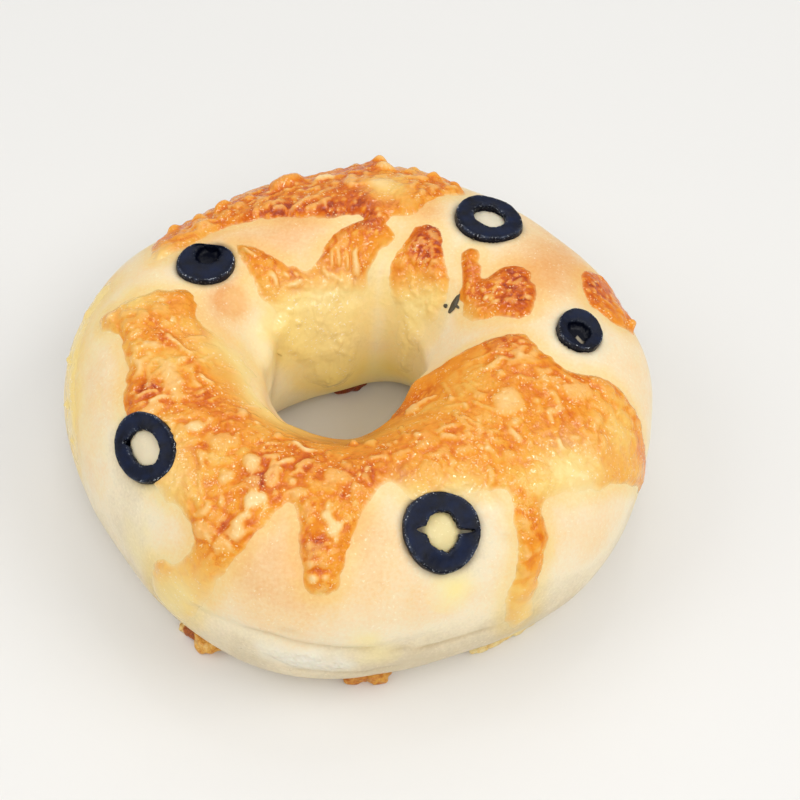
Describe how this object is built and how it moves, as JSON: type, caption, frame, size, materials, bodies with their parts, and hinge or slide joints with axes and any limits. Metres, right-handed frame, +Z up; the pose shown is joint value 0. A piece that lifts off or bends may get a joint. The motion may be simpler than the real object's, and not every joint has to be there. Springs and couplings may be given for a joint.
{
  "type": "olive bagel",
  "caption": "Baked ring-shaped bread roll with grated cheese melted over its top and flanks, and slices of black olive pressed into the dough.",
  "frame": {"origin": "on the table, under the middle of the bagel's box", "axes": "+Z up out of the table; -Y towards the side seen at the front; +X to its right"},
  "size_m": [0.1126, 0.1114, 0.04],
  "materials": {
    "bread_crust": "soft pale crust, cream at the foot and light golden on top, faintly blistered",
    "browned_cheese": "melted grated cheese, orange and browned in the hollows, pale where blobs stand out, oily sheen",
    "pale_cheese": "thin unbrowned melted cheese, pale yellow and slightly translucent",
    "black_olive": "blue-black olive flesh with a satin sheen and fine pale specks"
  },
  "bodies": {
    "root": {"bread": "bread_crust", "cheese_front": "browned_cheese", "cheese_back": "browned_cheese", "cheese_hole": "browned_cheese", "cheese_right": "browned_cheese", "cheese_right_flank": "browned_cheese", "cheese_left_flank": "pale_cheese", "olive_front": "black_olive", "olive_left": "black_olive", "olive_upper_left": "black_olive", "olive_upper_right": "black_olive", "olive_right": "black_olive"}
  },
  "joints": []
}
